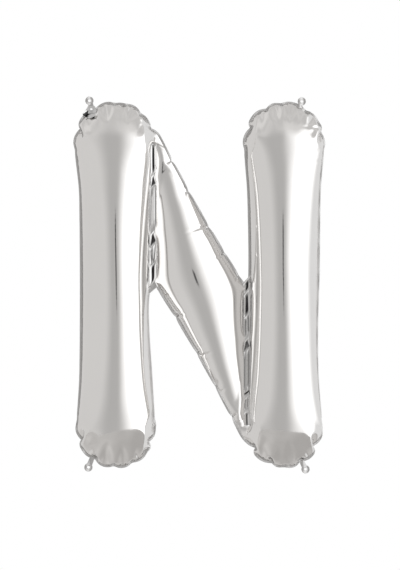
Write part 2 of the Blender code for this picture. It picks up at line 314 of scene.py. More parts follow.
def pleated_seam(side):
    """Matching points of the flat and the filled seam for one side, and a name for each point."""
    turn = STEMS[side][0]
    flat_points, filled_points, names = [], [], []
    for name, flat, filled, pleats in stretches(side):
        flat_long, filled_long = lengths(flat)[-1], lengths(filled)[-1]
        marks = sorted(nearest_distance(filled, place) for place in pleats)
        marks = [mark for mark in marks if SHORTEST_LOBE < mark < filled_long - SHORTEST_LOBE]
        stops = [0.0] + marks + [filled_long]
        for i, (start, end) in enumerate(zip(stops, stops[1:])):
            flat_start, flat_end = (stop / filled_long * flat_long for stop in (start, end))
            pleated = (i > 0, i < len(stops) - 2)
            spare = (flat_end - flat_start) - (end - start)
            line = lobe(filled, start, end, spare, pleated, BULGE_SLANT if name == "slanted edge" else BULGE_MOST)
            count = max(1, round((flat_end - flat_start) / SEAM_STEP))
            share = np.arange(count) / count
            flat_points.append(at(flat, flat_start + (flat_end - flat_start) * share))
            filled_points.append(at(line, lengths(line)[-1] * share))
            names += [f"{side} {name}"] * count
    return np.vstack(flat_points) * turn, np.vstack(filled_points) * turn, names


left_flat, left_filled, left_names = pleated_seam("left")
right_flat, right_filled, right_names = pleated_seam("right")
seam_flat = np.vstack([left_flat, right_flat])
seam_filled = np.vstack([left_filled, right_filled])
seam_names = left_names + right_names
print("seam:", len(seam_flat), "points, flat", round(lengths(seam_flat)[-1], 3), "m, filled", round(lengths(seam_filled)[-1], 3), "m")

# %% [markdown]
# ## The flat sheet as a mesh
# Film doesn't stretch, so every triangle edge must keep its flat length. A lattice of near-equal triangles
# does that best: it has no preferred direction. The seam's points are its border, and a constrained
# triangulation joins both, so that the slit ends and the notches come out clean.

# %% Sheet mesh
FINE_STEP = 0.0052
COARSE_STEP = 0.0100


def inside(outline, points):
    x, z = points[:, 0], points[:, 1]
    within = np.zeros(len(points), bool)
    for (x1, z1), (x2, z2) in zip(outline, np.roll(outline, -1, axis=0)):
        if z1 != z2:
            within ^= ((z1 > z) != (z2 > z)) & (x < (x2 - x1) * (z - z1) / (z2 - z1) + x1)
    return within


def clear_of(outline, points, room):
    nearest = np.full(len(points), 1e9)
    for corner in outline:
        np.minimum(nearest, ((points - corner) ** 2).sum(1), out=nearest)
    return nearest > room**2


def flat_sheet(step):
    """Flat points, seam first, and triangles of the sheet."""
    columns = np.arange(-0.40, 0.40, step * math.sqrt(0.75))
    rows = np.arange(-0.42, 0.42, step)
    x, z = np.meshgrid(columns, rows, indexing="ij")
    z = z + (np.arange(len(columns)) % 2)[:, None] * step / 2
    points = np.column_stack([x.ravel(), z.ravel()])
    points = points[inside(seam_flat, points)]
    points = points[clear_of(seam_flat, points, 0.62 * step)]
    count = len(seam_flat)
    border = [(i, (i + 1) % count) for i in range(count)]
    corners = [Vector(p) for p in np.vstack([seam_flat, points])]
    found, _, triangles, *_ = delaunay_2d_cdt(corners, border, [list(range(count))], 1, 1e-7)
    return np.array([tuple(p) for p in found]), np.array(triangles, int)


coarse_flat, coarse_triangles = flat_sheet(COARSE_STEP)
fine_flat, fine_triangles = flat_sheet(FINE_STEP)
print("sheet:", len(coarse_flat), "and", len(fine_flat), "points")

# %% [markdown]
# ## A first guess
# The gas needs a shape to start from that isn't folded. Stems start as tubes with round ends, the diagonal
# starts as a pillow, and the seam already lies where it belongs.


# %% First guess
def first_guess(flat):
    x, z = flat[:, 0], flat[:, 1]
    side = np.sign(x)
    from_axis = (x - side * FLAT_STEM_X) / FLAT_HALF
    over = np.maximum(np.abs(z) - FLAT_SIDE_TOP, 0) / FLAT_CAP
    turn = np.arctan2(over, from_axis)
    out = np.minimum(1.0, np.hypot(over, from_axis))
    reach = np.sin(out * math.pi / 2)
    height = np.minimum(np.abs(z), FLAT_SIDE_TOP) + (CHAMBER_TOP - FLAT_SIDE_TOP) * reach * np.sin(turn)
    depth = STEM_RADIUS * np.cos(out * math.pi / 2)
    stem = np.column_stack([side * STEM_X + STEM_RADIUS * reach * np.cos(turn), depth, np.sign(z) * height])
    slope = FLAT_DIAGONAL / (2 * FLAT_JOINT_Z)
    right = np.minimum(FLAT_DIAGONAL / 2, (FLAT_JOINT_Z - z) * 2 * slope - FLAT_DIAGONAL / 2)
    left = np.maximum(-FLAT_DIAGONAL / 2, FLAT_DIAGONAL / 2 - (FLAT_JOINT_Z + z) * 2 * slope)
    half, middle = np.maximum(1e-4, (right - left) / 2), (right + left) / 2
    share = np.clip((x - middle) / half, -1, 1) * math.pi / 2
    narrower = 2 * DIAGONAL_WEB_X / FLAT_DIAGONAL
    pillow = np.column_stack([(middle + half * np.sin(share)) * narrower, 0.8 * half * narrower * np.cos(share), z])
    in_stem = np.abs(x) > FLAT_DIAGONAL / 2 + FLAT_WEB / 2
    return np.where(in_stem[:, None], stem, pillow)


# %% [markdown]
# ## Letting the gas in
# Cloth modifiers treat film as if it could stretch, and a mirror shows every stretched triangle. So the
# sheet is solved here, as particles held at their flat distances: gas pushes each point along the
# surface, then every edge is pulled back to its length, again and again. A second set of links, across
# each edge, gives the film a little stiffness. Edges that share no point can be corrected at once, so they
# are sorted into groups first.


# %% Solver
def grouped(pairs, count):
    """A group number for each pair, so that no point is in two pairs of a group."""
    taken, group = [0] * count, np.zeros(len(pairs), int)
    for k, (a, b) in enumerate(pairs.tolist()):
        used = taken[a] | taken[b]
        free = (~used & (used + 1)).bit_length() - 1
        group[k] = free
        taken[a] |= 1 << free
        taken[b] |= 1 << free
    return group


def links(triangles, count):
    """Edges, and the two points across each inner edge."""
    edges = np.sort(np.vstack([triangles[:, [0, 1]], triangles[:, [1, 2]], triangles[:, [2, 0]]]), axis=1)
    across = np.concatenate([triangles[:, 2], triangles[:, 0], triangles[:, 1]])
    order = np.argsort(edges[:, 0] * count + edges[:, 1], kind="stable")
    edges, across = edges[order], across[order]
    _, first, times = np.unique(edges[:, 0] * count + edges[:, 1], return_index=True, return_counts=True)
    inner = first[times == 2]
    return edges[first], np.column_stack([across[inner], across[inner + 1]])


BEND = 0.5
DAMPING = 0.96
ROUNDS = 7
HOLD_STEM = 0.006
HOLD_SLANT = 0.012


def inflate(flat, triangles, shape, steps, push):
    """Fills the sheet. push is the gas's step in metres. The seam is drawn gently to its drawn line."""
    count, border = len(flat), len(seam_flat)
    edges, across = links(triangles, count)
    batches = []
    for pairs, stiffness, every in ((edges, 1.0, 1), (across, BEND, 2)):
        rest = np.linalg.norm(flat[pairs[:, 0]] - flat[pairs[:, 1]], axis=1)
        group = grouped(pairs, count)
        for g in range(group.max() + 1):
            one = group == g
            batches.append((pairs[one, 0].copy(), pairs[one, 1].copy(), rest[one], stiffness / 2, every))
    seam = np.column_stack([seam_filled[:, 0], np.zeros(border), seam_filled[:, 1]])
    hold = np.array([HOLD_SLANT if "slanted" in name else HOLD_STEM for name in seam_names])[:, None]
    speed = np.zeros_like(shape)
    a, b, c = triangles.T
    for step in range(steps):
        normal = np.cross(shape[b] - shape[a], shape[c] - shape[a])
        force = np.column_stack(
            [sum(np.bincount(corner, normal[:, k], count) for corner in (a, b, c)) for k in range(3)]
        )
        if force[:, 1].sum() < 0:
            force = -force
        size = np.maximum(1e-12, np.linalg.norm(force, axis=1))[:, None]
        before = shape.copy()
        speed = speed * DAMPING + force / size * push(step / steps)
        shape = shape + speed
        for turn in range(ROUNDS):
            shape[:border] += (seam - shape[:border]) * hold
            for one, two, rest, half_stiffness, every in batches:
                if turn % every:
                    continue
                gap = shape[two] - shape[one]
                long = np.sqrt(np.einsum("ij,ij->i", gap, gap))
                gap *= (half_stiffness * (1 - rest / np.maximum(long, 1e-9)))[:, None]
                shape[one] += gap
                shape[two] -= gap
            np.maximum(shape[:, 1], 0, out=shape[:, 1])
            shape[:border, 1] = 0
        speed = shape - before
    long = np.linalg.norm(shape[edges[:, 0]] - shape[edges[:, 1]], axis=1)
    rest = np.linalg.norm(flat[edges[:, 0]] - flat[edges[:, 1]], axis=1)
    off = np.linalg.norm(shape[:border] - seam, axis=1)
    print("filled:", steps, "steps, mean stretch", round((long / rest).mean(), 4), "depth", round(shape[:, 1].max(), 4))
    print("seam off its line: mean", round(off.mean() * 1000, 1), "mm, most", round(off.max() * 1000, 1), "mm")
    return shape


# %% [markdown]
# ## Coarse first, then fine
# On a fine mesh the gas needs very many steps to travel from end to end. A coarse sheet finds the large
# shape quickly, and each fine point then starts from its own place in the coarse sheet.


# %% Carry over
def carried(old_flat, old_triangles, old_shape, new_flat):
    tree = BVHTree.FromPolygons([(x, z, 0) for x, z in old_flat], old_triangles.tolist())
    shape = np.zeros((len(new_flat), 3))
    for i, place in enumerate(new_flat):
        a, b, c = old_triangles[tree.find_nearest((*place, 0))[2]]
        sides = np.column_stack([old_flat[b] - old_flat[a], old_flat[c] - old_flat[a]])
        u, v = np.linalg.solve(sides, place - old_flat[a])
        shape[i] = old_shape[a] * (1 - u - v) + old_shape[b] * u + old_shape[c] * v
    return shape


coarse = inflate(coarse_flat, coarse_triangles, first_guess(coarse_flat), 160, lambda done: 2e-4)
fine = carried(coarse_flat, coarse_triangles, coarse, fine_flat)
fine = inflate(fine_flat, fine_triangles, fine, 120, lambda done: 1e-4 if done < 0.5 else 3e-5)

# %% [markdown]
# ## Ironing the diagonal
# The stems are tubes and come out of the solver clean. The diagonal is a wide pillow with long slanted edges,
# and there the spare film breaks into many small wrinkles, where the real one is smooth but for a few sharp
# creases. So the diagonal is relaxed once more as a film that only pulls, like a soap bubble: each point moves
# to the middle of its neighbours, and the gas pushes it out again. Such a film can't wrinkle.

# %% Ironing
IRON_TURNS = 1500
GAS_PUSH = 0.52
EDGE_PUSH = 1.3
EDGE_REACH = 0.026
JOINT_LOW = 0.235
JOINT_REACH = 0.050
LEAST_RISE = 0.35
DRAWN_EDGES = ("slanted edge", "web of the diagonal", "slit end")


def from_slant(flat, side):
    """How far each flat point lies along a slanted edge, from the notch, and how far inside it."""
    start, end = (np.array(place) for place in FLAT_SLANT)
    long = np.linalg.norm(end - start)
    along = (end - start) / long
    place = flat * STEMS[side][0] - start
    return place @ along, place @ np.array([-along[1], along[0]]), long


def ironed(shape, flat, triangles):
    count, border = len(shape), len(seam_flat)
    edges, _ = links(triangles, count)
    valence = np.bincount(edges.ravel(), minlength=count)[:, None]
    further = JOINT_REACH * np.clip((np.abs(flat[:, 1]) - JOINT_LOW) / 0.06, 0, 1)
    weight = np.clip((FLAT_DIAGONAL / 2 + 0.012 + further - np.abs(flat[:, 0])) / 0.02, 0, 1)
    weight[:border] = 0
    shape = shape.copy()
    drawn = np.array([name.split(" ", 1)[1] in DRAWN_EDGES for name in seam_names], float)
    near_slit = [("web of the stem" in name) * min(1.0, max(0.0, (abs(z) - 0.24) / 0.05)) for name, z in zip(seam_names, seam_flat[:, 1])]
    drawn = np.maximum(drawn, near_slit)[:, None]
    shape[:border] += (np.insert(seam_filled, 1, 0, axis=1) - shape[:border]) * drawn
    moving = weight > 0
    near = moving[edges].any(axis=1)
    edges = edges[near]
    a, b, c = triangles[moving[triangles].any(axis=1)].T
    weight = 0.9 * weight[:, None]
    inside_by = np.minimum(*(from_slant(flat, side)[1] for side in STEMS))
    gas = (GAS_PUSH * (1 + EDGE_PUSH * np.exp(-((inside_by / EDGE_REACH) ** 2))))[:, None]
    for turn in range(IRON_TURNS):
        normal = np.cross(shape[b] - shape[a], shape[c] - shape[a])
        if turn == 0 and normal[:, 1].sum() < 0:
            b, c, normal = c, b, -normal
        push = np.column_stack([sum(np.bincount(corner, normal[:, k], count) for corner in (a, b, c)) for k in range(3)])
        around = np.column_stack(
            [
                np.bincount(edges[:, 0], shape[edges[:, 1], k], count) + np.bincount(edges[:, 1], shape[edges[:, 0], k], count)
                for k in range(3)
            ]
        )
        shape = shape + (around / valence - shape + gas * push) * weight
    rim = np.full(count, 1.0)
    for corner in seam_flat:
        np.minimum(rim, np.linalg.norm(flat - corner, axis=1), out=rim)
    rim[:border] = 0
    shape[:, 1] = np.maximum(shape[:, 1], LEAST_RISE * np.minimum(rim, 0.012))
    return shape


fine = ironed(fine, fine_flat, fine_triangles)
print("diagonal ironed, depth", round(fine[np.abs(fine_flat[:, 0]) < 0.02, 1].max(), 4))

# %% [markdown]
# ## Creases
# Where a pleat of the slanted edge runs on into the film it leaves a short sharp crease, seen in a mirror as a
# thin bright and dark line. They are listed here, and pressed into the smooth sheet further down.

# %% Creases
# side: the creases from a slanted edge, as share of the edge from the notch, depth, length and lean
CREASES = {
    "left": ((0.21, 0.0022, 0.022, 0.3), (0.45, 0.0024, 0.024, 0.3), (0.67, 0.0014, 0.014, 0.0), (0.86, 0.0018, 0.014, 0.0)),
    "right": ((0.06, 0.0016, 0.014, 0.0), (0.21, 0.0024, 0.020, 0.2), (0.39, 0.0032, 0.036, 0.3), (0.62, 0.0006, 0.010, 0.0)),
}


# creases of the stems: place on the seam, direction in the flat sheet in degrees, depth and length
STEM_CREASES = (
    (0.256, 0.326, 186, 0.0020, 0.036), (0.250, 0.265, 184, 0.0020, 0.040), (-0.106, -0.046, 176, 0.0016, 0.016),
    (-0.101, 0.330, 172, 0.0024, 0.030), (-0.252, 0.262, -4, 0.0014, 0.018), (-0.104, -0.330, 190, 0.0020, 0.022),
    (0.246, -0.300, 178, 0.0018, 0.030), (-0.256, -0.275, 4, 0.0014, 0.020),
)
print("creases:", sum(len(creases) for creases in CREASES.values()) + len(STEM_CREASES))

# %% [markdown]
# ## Finishes
# All of the balloon is one film, a mirror on plastic. What differs is how the film has been treated: blown
# tight over the chambers, pressed between hot jaws along the weld, left limp at the tabs. A mirror has
# nearly no colour of its own, so each finish is a metal with its own roughness, and a bump of fine wrinkles.


# %% Finishes
def film(name, colour, roughness, wrinkle, wrinkle_height, grain_height, painted_shade_colour=None):
    """A metallised film: patches of slightly different shine, soft wrinkles and a fine grain.

    Where a mesh carries the painted-shade attribute, the colour is mixed towards the given dark colour by 0 to 1 of it:
    painted shade, standing for the shadow inside a closed fold.
    """
    material = bpy.data.materials.new(name)
    material.use_nodes = True
    nodes, wires = material.node_tree.nodes, material.node_tree.links
    shader = nodes["Principled BSDF"]
    shader.inputs["Metallic"].default_value = 1.0
    place = nodes.new("ShaderNodeTexCoord").outputs["Object"]

    def noise(scale, detail):
        made = nodes.new("ShaderNodeTexNoise")
        made.inputs["Scale"].default_value = scale
        made.inputs["Detail"].default_value = detail
        wires.new(place, made.inputs["Vector"])
        return made.outputs["Fac"]

    def spread(source, low, high):
        made = nodes.new("ShaderNodeMapRange")
        made.inputs["From Min"].default_value = 0.3
        made.inputs["From Max"].default_value = 0.7
        made.inputs["To Min"].default_value = low
        made.inputs["To Max"].default_value = high
        wires.new(source, made.inputs["Value"])
        return made.outputs["Result"]

    patches = noise(9.0, 3.0)
    tint = nodes.new("ShaderNodeMix")
    tint.data_type = "RGBA"
    tint.inputs["A"].default_value = (*(0.97 * c for c in colour), 1)
    tint.inputs["B"].default_value = (*(min(1.0, 1.02 * c) for c in colour), 1)
    wires.new(patches, tint.inputs["Factor"])
    tone = tint.outputs["Result"]
    # Painted shade: where the attribute is set, the film's colour is darkened towards a near-black.
    if painted_shade_colour:
        painted_shade = nodes.new("ShaderNodeAttribute")
        painted_shade.attribute_name = "painted_shade"
        darker = nodes.new("ShaderNodeMix")
        darker.data_type = "RGBA"
        darker.inputs["B"].default_value = (*painted_shade_colour, 1)
        wires.new(painted_shade.outputs["Fac"], darker.inputs["Factor"])
        wires.new(tone, darker.inputs["A"])
        tone = darker.outputs["Result"]
    wires.new(tone, shader.inputs["Base Color"])
    wires.new(spread(patches, roughness * 0.75, roughness * 1.25), shader.inputs["Roughness"])
    normal = None
    for scale, detail, height in ((wrinkle, 1.0, wrinkle_height), (420.0, 2.0, grain_height)):
        bump = nodes.new("ShaderNodeBump")
        bump.inputs["Strength"].default_value = 1.0
        bump.inputs["Distance"].default_value = height
        wires.new(noise(scale, detail), bump.inputs["Height"])
        if normal:
            wires.new(normal, bump.inputs["Normal"])
        normal = bump.outputs["Normal"]
    wires.new(normal, shader.inputs["Normal"])
    return material


tight_film = film("tight_film", (0.86, 0.85, 0.84), 0.075, 28.0, 0.00008, 0.000004)
welded_film = film("welded_film", (0.58, 0.575, 0.57), 0.38, 160.0, 0.0003, 0.00001)
# web_film and neck_film carry a near-black painted shade for their troughs and closed folds.
web_film = film("web_film", (0.74, 0.735, 0.73), 0.16, 70.0, 0.0003, 0.00001, (0.03, 0.03, 0.03))
limp_film = film("limp_film", (0.58, 0.575, 0.57), 0.34, 120.0, 0.0004, 0.00001)
neck_film = film("neck_film", (0.72, 0.72, 0.72), 0.18, 90.0, 0.0005, 0.00001, (0.04, 0.04, 0.04))

# %% [markdown]
# ## From triangles to a smooth mirror
# The solved sheet has 5 mm triangles, which a mirror would show as facets. One round of Loop subdivision
# splits each triangle into four and eases the corners, and unlike the usual subdivision it is made for
# triangles, so no pattern shows in the reflection.


# %% Smooth sheet
def loop_subdivided(points, triangles, border):
    """One Loop subdivision. The first border points are the rim, in order."""
    count = len(points)
    edges = np.sort(np.vstack([triangles[:, [0, 1]], triangles[:, [1, 2]], triangles[:, [2, 0]]]), axis=1)
    across = np.concatenate([triangles[:, 2], triangles[:, 0], triangles[:, 1]])
    keys, index = np.unique(edges[:, 0] * count + edges[:, 1], return_inverse=True)
    pairs = np.column_stack([keys // count, keys % count])
    times = np.bincount(index, minlength=len(keys))
    facing = np.column_stack([np.bincount(index, points[across, k], len(keys)) for k in range(3)])
    middle = (points[pairs[:, 0]] + points[pairs[:, 1]]) / 2
    inner = times == 2
    fresh = middle.copy()
    fresh[inner] = 0.75 * middle[inner] + facing[inner] / 8
    valence = np.bincount(pairs.ravel(), minlength=count)
    beta = (0.625 - (0.375 + np.cos(2 * math.pi / valence) / 4) ** 2) / valence
    around = np.column_stack(
        [
            np.bincount(pairs[:, 0], points[pairs[:, 1], k], count) + np.bincount(pairs[:, 1], points[pairs[:, 0], k], count)
            for k in range(3)
        ]
    )
    old = points * (1 - valence * beta)[:, None] + around * beta[:, None]
    rim = points[:border]
    old[:border] = 0.75 * rim + 0.125 * (np.roll(rim, 1, axis=0) + np.roll(rim, -1, axis=0))
    ab, bc, ca = index.reshape(3, -1) + count
    a, b, c = triangles.T
    split = np.vstack([np.column_stack(t) for t in ((a, ab, ca), (b, bc, ab), (c, ca, bc), (ab, bc, ca))])
    return np.vstack([old, fresh]), split, pairs


LEFT_TURN = 0.085  # the left stem's front is turned a little towards the middle


def groove(aside, inside_by, depth, long):
    across = np.exp(-((aside / 0.0032) ** 2)) - 0.4 * np.exp(-((aside / 0.011) ** 2))
    return depth * across * np.exp(-((inside_by / long) ** 2)) * (1 - np.exp(-inside_by.clip(0) / 0.004))


def pressed(points, triangles, flat):
    """Presses the creases into the sheet, with a low shoulder on each side."""
    corners = [points[corner] for corner in triangles.T]
    facing = np.cross(corners[1] - corners[0], corners[2] - corners[0])
    normal = np.column_stack([sum(np.bincount(c, facing[:, k], len(points)) for c in triangles.T) for k in range(3)])
    normal /= np.maximum(1e-12, np.linalg.norm(normal, axis=1))[:, None]
    if normal[:, 1].mean() < 0:
        normal = -normal
    amount = np.zeros(len(points))
    for side, creases in CREASES.items():
        along, inside_by, long = from_slant(flat, side)
        for share, depth, crease_long, lean in creases:
            aside = along - share * long - lean * inside_by
            amount += groove(aside, inside_by, depth, crease_long)
    for x, z, degrees, depth, crease_long in STEM_CREASES:
        start = seam_flat[np.argmin(np.linalg.norm(seam_filled - (x, z), axis=1))]
        turn = math.radians(degrees)
        inside_by = (flat - start) @ (math.cos(turn), math.sin(turn))
        aside = (flat - start) @ (-math.sin(turn), math.cos(turn))
        amount += groove(aside, inside_by, depth, crease_long)
    return points - normal * amount[:, None]


def piece_from(name, points, faces, material, replaced, slot):
    """A new smooth piece that rides on the balloon and stands for CAD nodes."""
    mesh = bpy.data.meshes.new(name)
    mesh.from_pydata([tuple(p) for p in points], [], [tuple(int(i) for i in f) for f in faces])
    mesh.shade_smooth()
    mesh.materials.append(material)
    piece = bpy.data.objects.new(name, mesh)
    bpy.context.scene.collection.objects.link(piece)
    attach(piece, "root")
    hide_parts(*replaced)
    print(name, len(mesh.vertices), "points", len(mesh.polygons), "faces")
    return piece


smooth, smooth_triangles, halved = loop_subdivided(fine, fine_triangles, len(seam_flat))
smooth_flat = np.vstack([fine_flat, fine_flat[halved].mean(axis=1)])
smooth = pressed(smooth, smooth_triangles, smooth_flat)
smooth[:, 0] += LEFT_TURN * smooth[:, 1] * np.clip(-smooth_flat[:, 0] / FLAT_DIAGONAL * 2 - 0.5, 0, 1)
front = smooth * (1, -1, 1)
piece_from("front_foil", front, smooth_triangles, tight_film, ["front_panel"], "foil")
piece_from("back_foil", smooth, smooth_triangles[:, ::-1], tight_film, ["back_panel"], "foil")

# %% [markdown]
# ## The weld margin
# Outside the seam a strip of 5 mm holds the two sheets together. It is too stiff to gather, so it buckles
# a little out of its plane at each pleat and spans the pleat's mouth. Its inner edge is the seam itself.
# Its outer edge follows the seam after smoothing, so that it doesn't dive into the pleats.

# %% Weld margin
WELD_SKIN = 0.0003
WELD_ROWS = 4
PUCKER = 0.0011


def smoothed(line, rounds, closed):
    line = line.copy()
    for _ in range(rounds):
        before, after = np.roll(line, 1, axis=0), np.roll(line, -1, axis=0)
        if not closed:
            before[0], after[-1] = line[0], line[-1]
        line = (before + 2 * line + after) / 4
    return line


def margin(name, members, width, replaced):
    """A thin closed strip outside one open run of the seam."""
    inner = fine[members][:, [0, 2]]
    eased = smoothed(inner, 5, False)
    step = np.gradient(eased, axis=0)
    step /= np.linalg.norm(step, axis=1)[:, None]
    normal = np.column_stack([step[:, 1], -step[:, 0]])
    outer = smoothed(eased + normal * width, 2, False)
    dent = np.linalg.norm(inner - eased, axis=1)
    wave = PUCKER * np.sin(np.cumsum(0.4 + 250 * dent)) * (0.35 + np.minimum(1, dent / 0.001))
    rows = []
    for i in range(WELD_ROWS + 1):
        share = i / WELD_ROWS
        flat_place = inner * (1 - share) + outer * share
        rows.append(np.column_stack([flat_place[:, 0], wave * share**1.5, flat_place[:, 1]]))
    skin = np.array([0, WELD_SKIN, 0])
    ring = [row - skin for row in rows] + [row + skin for row in reversed(rows)]
    points = np.vstack(ring)
    long, around = len(members), len(ring)
    faces = []
    for r in range(around):
        n = (r + 1) % around
        for i in range(long - 1):
            faces.append((r * long + i, n * long + i, n * long + i + 1, r * long + i + 1))
    faces.append([r * long for r in range(around)][::-1])
    faces.append([r * long + long - 1 for r in range(around)])
    return points, faces


def members_of(side, *names):
    return [i for i, name in enumerate(seam_names) if name in {f"{side} {part}" for part in names}]


def joined(parts):
    points, faces, base = [], [], 0
    for part_points, part_faces in parts:
        points.append(part_points)
        faces += [[i + base for i in face] for face in part_faces]
        base += len(part_points)
    return np.vstack(points), faces


around_edge = []
for side in STEMS:
    other = "right" if side == "left" else "left"
    slant = members_of(other, "slanted edge")
    stem = members_of(side, "joined end", "outer side", "free end", "free side")
    around_edge.append(margin("edge", slant + stem, WELD_WIDTH, []))
piece_from("weld_margin", *joined(around_edge), welded_film, ["rim_weld"], "weld")


# %% [markdown]
# ## The webs
# Between a stem and the diagonal the two sheets are welded to each other in a narrow strip. The chambers on
# both sides bulge over it, and where they touch they pinch it. Between two pinches the strip lies as a
# trough, open at the bottom, or with a low ridge along its middle that catches the light. The bottom is painted
# near-black as shade, less on a ridge. So the strip is drawn as a table of such stretches, and each one fades
# to nothing at its pinches.

# %% Webs
WEB_ROWS = 12
WEB_COUNT = 300
TROUGH = 0.0022
RIDGE = 0.0016

# side: stretches from the slit's top to the notch, as heights of both ends, width of the bottom, which is painted
# dark as shade, at both ends, and height of the ridge at both ends, all as shares
WEB_STRETCHES = {
    "left": (
        (0.300, 0.236, 0.30, 0.42, 0.0, 0.0),
        (0.232, 0.209, 0.15, 0.85, 0.0, 0.1),
        (0.208, 0.117, 0.80, 0.85, 0.8, 0.9),
        (0.111, 0.084, 0.15, 0.95, 0.0, 0.1),
        (0.083, 0.046, 0.80, 0.45, 0.9, 0.3),
        (0.046, 0.003, 0.42, 0.36, 0.0, 0.0),
    ),
    "right": (
        (0.300, 0.270, 0.20, 0.20, 0.0, 0.0),
        (0.262, 0.240, 0.60, 0.60, 0.9, 0.9),
        (0.231, 0.226, 0.90, 0.90, 0.0, 0.0),
        (0.225, 0.138, 0.80, 0.80, 0.9, 0.9),
        (0.137, 0.117, 0.95, 0.20, 0.3, 0.0),
        (0.109, 0.065, 0.70, 0.55, 0.9, 0.4),
        (0.064, 0.017, 0.50, 0.30, 0.0, 0.0),
        (0.012, -0.008, 0.45, 0.35, 0.0, 0.0),
    ),
}


def trough(height, side):
    """Depth of the strip's bottom, width of its bottom, which is painted dark as shade, and height of its ridge, at one
    height.
    """
    for top, low, wide_top, wide_low, ridge_top, ridge_low in WEB_STRETCHES[side]:
        if low <= height <= top:
            share = (top - height) / (top - low)
            fade = min(1.0, 4.0 * share + 0.15, 4.0 * (1 - share) + 0.15)
            return fade, wide_top + (wide_low - wide_top) * share, ridge_top + (ridge_low - ridge_top) * share
    return 0.0, 0.0, 0.0


def web(side):
    turn = STEMS[side][0]
    stem_line = fine[members_of(side, "free side")[-6:] + members_of(side, "web of the stem")]
    diagonal_line = fine[members_of(side, "web of the diagonal") + members_of(side, "slanted edge")[:3]][::-1]
    share = np.linspace(0, 1, WEB_COUNT)
    lines = []
    for line in (stem_line, diagonal_line):
        along = np.linspace(0, 1, len(line))
        lines.append(np.column_stack([np.interp(share, along, line[:, k]) for k in range(3)]))
    states = np.array([trough(turn * z, side) for z in (lines[0][:, 2] + lines[1][:, 2]) / 2])
    fade, wide, ridge = smoothed(states, 2, False).T
    rows, painted_shade_amounts = [], []
    for i in range(WEB_ROWS + 1):
        across = i / WEB_ROWS
        off_middle = abs(2 * across - 1)
        row = lines[0] * (1 - across) + lines[1] * across
        wall = np.clip((off_middle - wide) / (1 - wide).clip(0.05), 0, 1)
        crest = np.clip(1 - off_middle / wide.clip(0.05), 0, 1)
        row[:, 1] = fade * (TROUGH * (1 - wall) - RIDGE * ridge * crest)
        rows.append(row)
        # Painted shade: the trough's bottom is darkened towards near-black, less where the ridge catches the light.
        lit = np.clip(ridge * (crest * 2.2), 0, 1)
        painted_shade_amounts.append(np.clip(fade * 1.2, 0, 1) * np.clip((wide - off_middle) * 5 + 0.6, 0, 1) * (1 - 0.85 * lit))
    skin = np.array([0, WELD_SKIN, 0])
    ring = [row - skin for row in rows] + [row + skin for row in reversed(rows)]
    around = len(ring)
    faces = []
    for r in range(around):
        n = (r + 1) % around
        for i in range(WEB_COUNT - 1):
            face = (r * WEB_COUNT + i, n * WEB_COUNT + i, n * WEB_COUNT + i + 1, r * WEB_COUNT + i + 1)
            faces.append(face)
    faces.append([r * WEB_COUNT for r in range(around)][::-1])
    faces.append([r * WEB_COUNT + WEB_COUNT - 1 for r in range(around)])
    return np.vstack(ring), faces, np.concatenate(painted_shade_amounts + painted_shade_amounts[::-1])


# Stores the painted shade on the mesh, for the film to darken by.
def mark_painted_shade(piece, painted_shade_amounts):
    attribute = piece.data.attributes.new("painted_shade", "FLOAT", "POINT")
    attribute.data.foreach_set("value", np.asarray(painted_shade_amounts, dtype=np.float32))


for side in STEMS:
    points, faces, painted_shade_amounts = web(side)
    mark_painted_shade(piece_from(f"{side}_web_film", points, faces, web_film, [f"web_{side}"], "weld"), painted_shade_amounts)

# %% [markdown]
# ## Hang tabs
# At each outer corner a small ring of film sticks out, to take a ribbon. It is flat, cut in one with the sheets,
# and pressed between the jaws, so it is duller than the chambers and has a raised lip round its hole.

# %% Tabs
TAB_RADIUS = 0.0088
TAB_HOLE = 0.0031
TAB_SKIN = 0.0004
TAB_LIP = 0.0006
TAB_SPOKES = 64
TABS = {
    "top_left": ((-0.2343, 0.3905), (-0.2295, 0.3760)),
    "top_right": ((0.2158, 0.3890), (0.2104, 0.3740)),
    "bottom_left": ((-0.2364, -0.3863), (-0.2270, -0.3630)),
    "bottom_right": ((0.2237, -0.3905), (0.2150, -0.3720)),
}


def ringed_plate(hole, hole_radius, outline, skin, bend, steps=8):
    """A thin closed plate between a round hole and an outline of (x, z) points, bent by bend(x, z)."""
    count = len(outline)
    angles = [math.atan2(x - hole[0], z - hole[1]) for x, z in outline]
    rings = []
    for i in range(steps + 1):
        share = i / steps
        ring = []
        for angle, (x, z) in zip(angles, outline):
            inner_x, inner_z = hole[0] + hole_radius * math.sin(angle), hole[1] + hole_radius * math.cos(angle)
            ring.append((inner_x * (1 - share) + x * share, inner_z * (1 - share) + z * share))
        rings.append(ring)
    points, faces = [], []
    for side_sign in (-1, 1):
        for i, ring in enumerate(rings):
            lip = TAB_LIP * math.exp(-((i / 1.2) ** 2))
            points += [(x, bend(x, z) + side_sign * (skin + lip), z) for x, z in ring]
    def corner(top, ring, i):
        return (top * (steps + 1) + ring) * count + i % count
    for i in range(count):
        for r in range(steps):
            faces.append((corner(0, r, i), corner(0, r, i + 1), corner(0, r + 1, i + 1), corner(0, r + 1, i)))
            faces.append((corner(1, r, i), corner(1, r + 1, i), corner(1, r + 1, i + 1), corner(1, r, i + 1)))
        faces.append((corner(0, 0, i), corner(1, 0, i), corner(1, 0, i + 1), corner(0, 0, i + 1)))
        faces.append((corner(0, steps, i), corner(0, steps, i + 1), corner(1, steps, i + 1), corner(1, steps, i)))
    return points, faces


def tab_outline(hole, root):
    """A ring whose lower part runs down to its root with a narrower neck."""
    up = (hole - root).normalized()
    across = Vector((up.y, -up.x))
    reach = (hole - root).length
    outline = []
    for i in range(TAB_SPOKES):
        angle = 2 * math.pi * i / TAB_SPOKES
        x, y = TAB_RADIUS * math.sin(angle), TAB_RADIUS * math.cos(angle)
        if math.cos(angle) < -0.80:
            x, y = x * 1.05, -reach
        outline.append(tuple(hole + across * x + up * y))
    return outline


